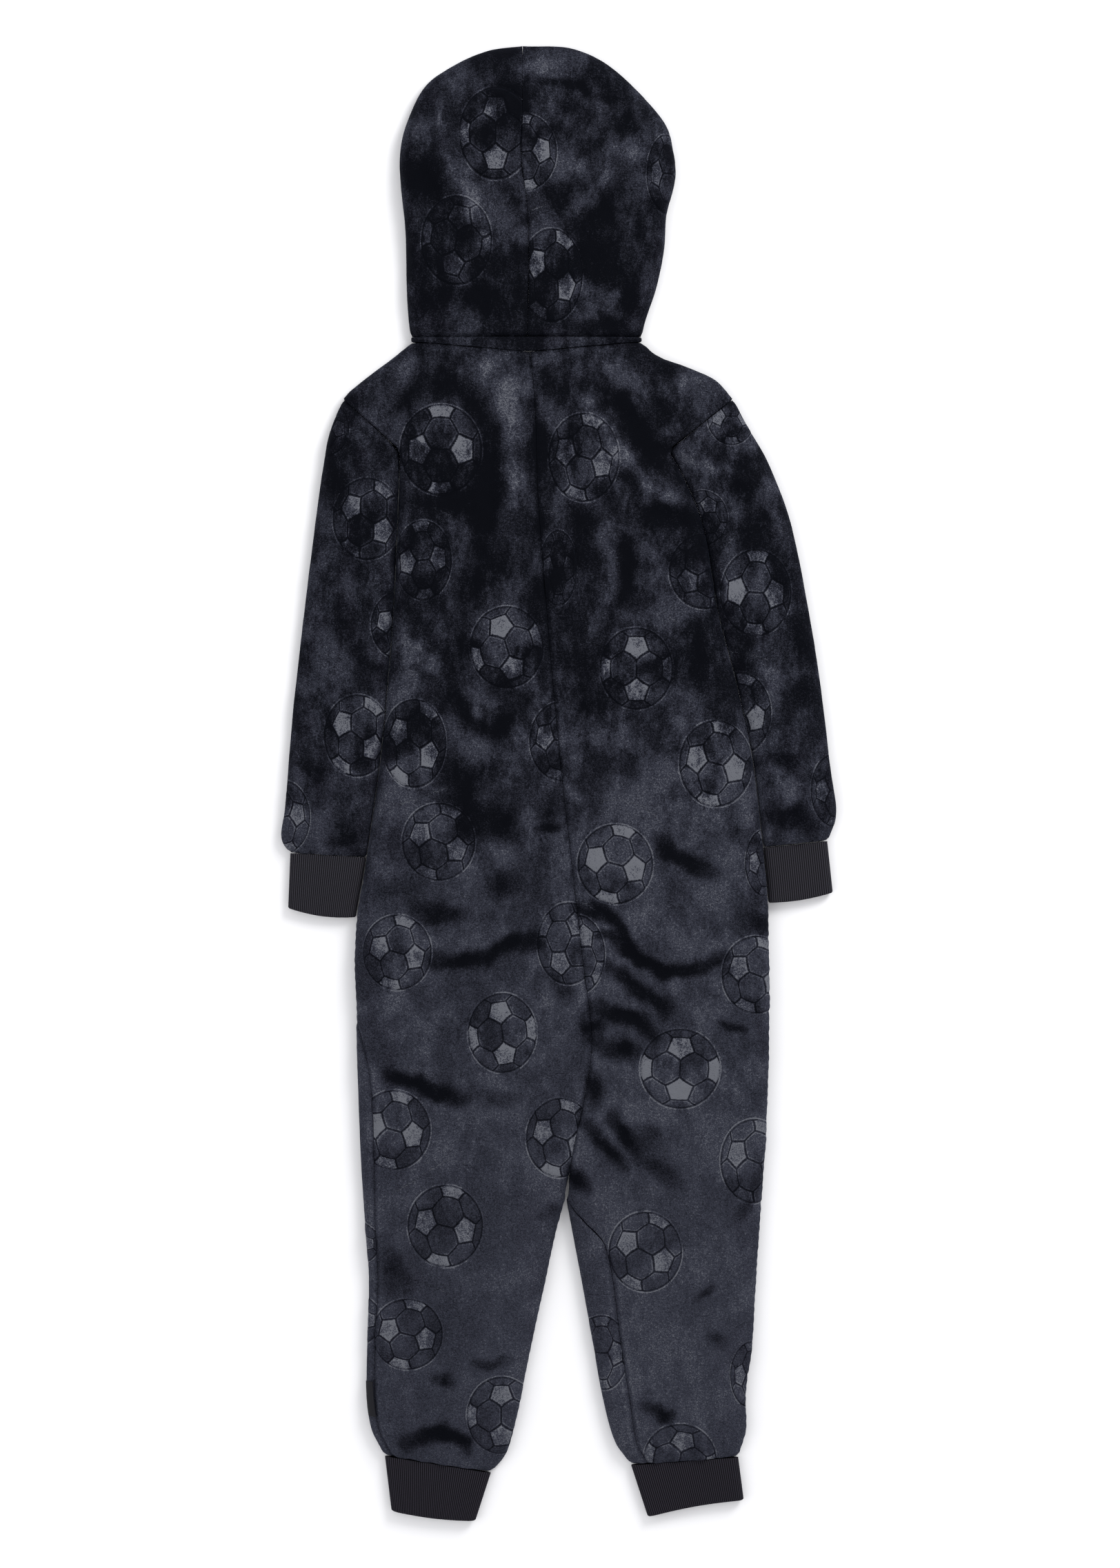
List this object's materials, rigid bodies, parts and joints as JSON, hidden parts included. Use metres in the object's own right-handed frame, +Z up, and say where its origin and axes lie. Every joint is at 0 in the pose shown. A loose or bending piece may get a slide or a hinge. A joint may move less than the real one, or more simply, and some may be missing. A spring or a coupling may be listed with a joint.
{
  "type": "hooded one-piece pajama laid flat",
  "caption": "Hooded one-piece fleece sleepsuit for a child, laid flat with its back up, with embossed soccer balls and rib-knit cuffs.",
  "frame": {"origin": "on the surface that the garment lies on, under the middle of its outline", "axes": "+Y towards the hood, +X towards the wearer's right, +Z up, out of the garment's back"},
  "size_m": [0.4966, 1.3239, 0.0246],
  "materials": {
    "fleece": "black plush polyester fleece, embossed, brushed pile",
    "sleeve_rib": "charcoal one by one rib knit",
    "ankle_rib": "black one by one rib knit",
    "zip_tape": "woven zip tape with a nylon coil",
    "zip_metal": "black lacquered slider",
    "label_satin": "black woven satin ribbon"
  },
  "bodies": {
    "root": {"back_left": "fleece", "back_right": "fleece", "front_left": "fleece", "front_right": "fleece", "sleeve_left": "fleece", "sleeve_right": "fleece", "hood_left": "fleece", "hood_right": "fleece", "neck_band": "fleece", "sleeve_cuff_left": "sleeve_rib", "sleeve_cuff_right": "sleeve_rib", "ankle_cuff_left": "ankle_rib", "ankle_cuff_right": "ankle_rib", "front_zip": "zip_tape", "zip_slider": "zip_metal", "side_label": "label_satin"}
  },
  "joints": []
}
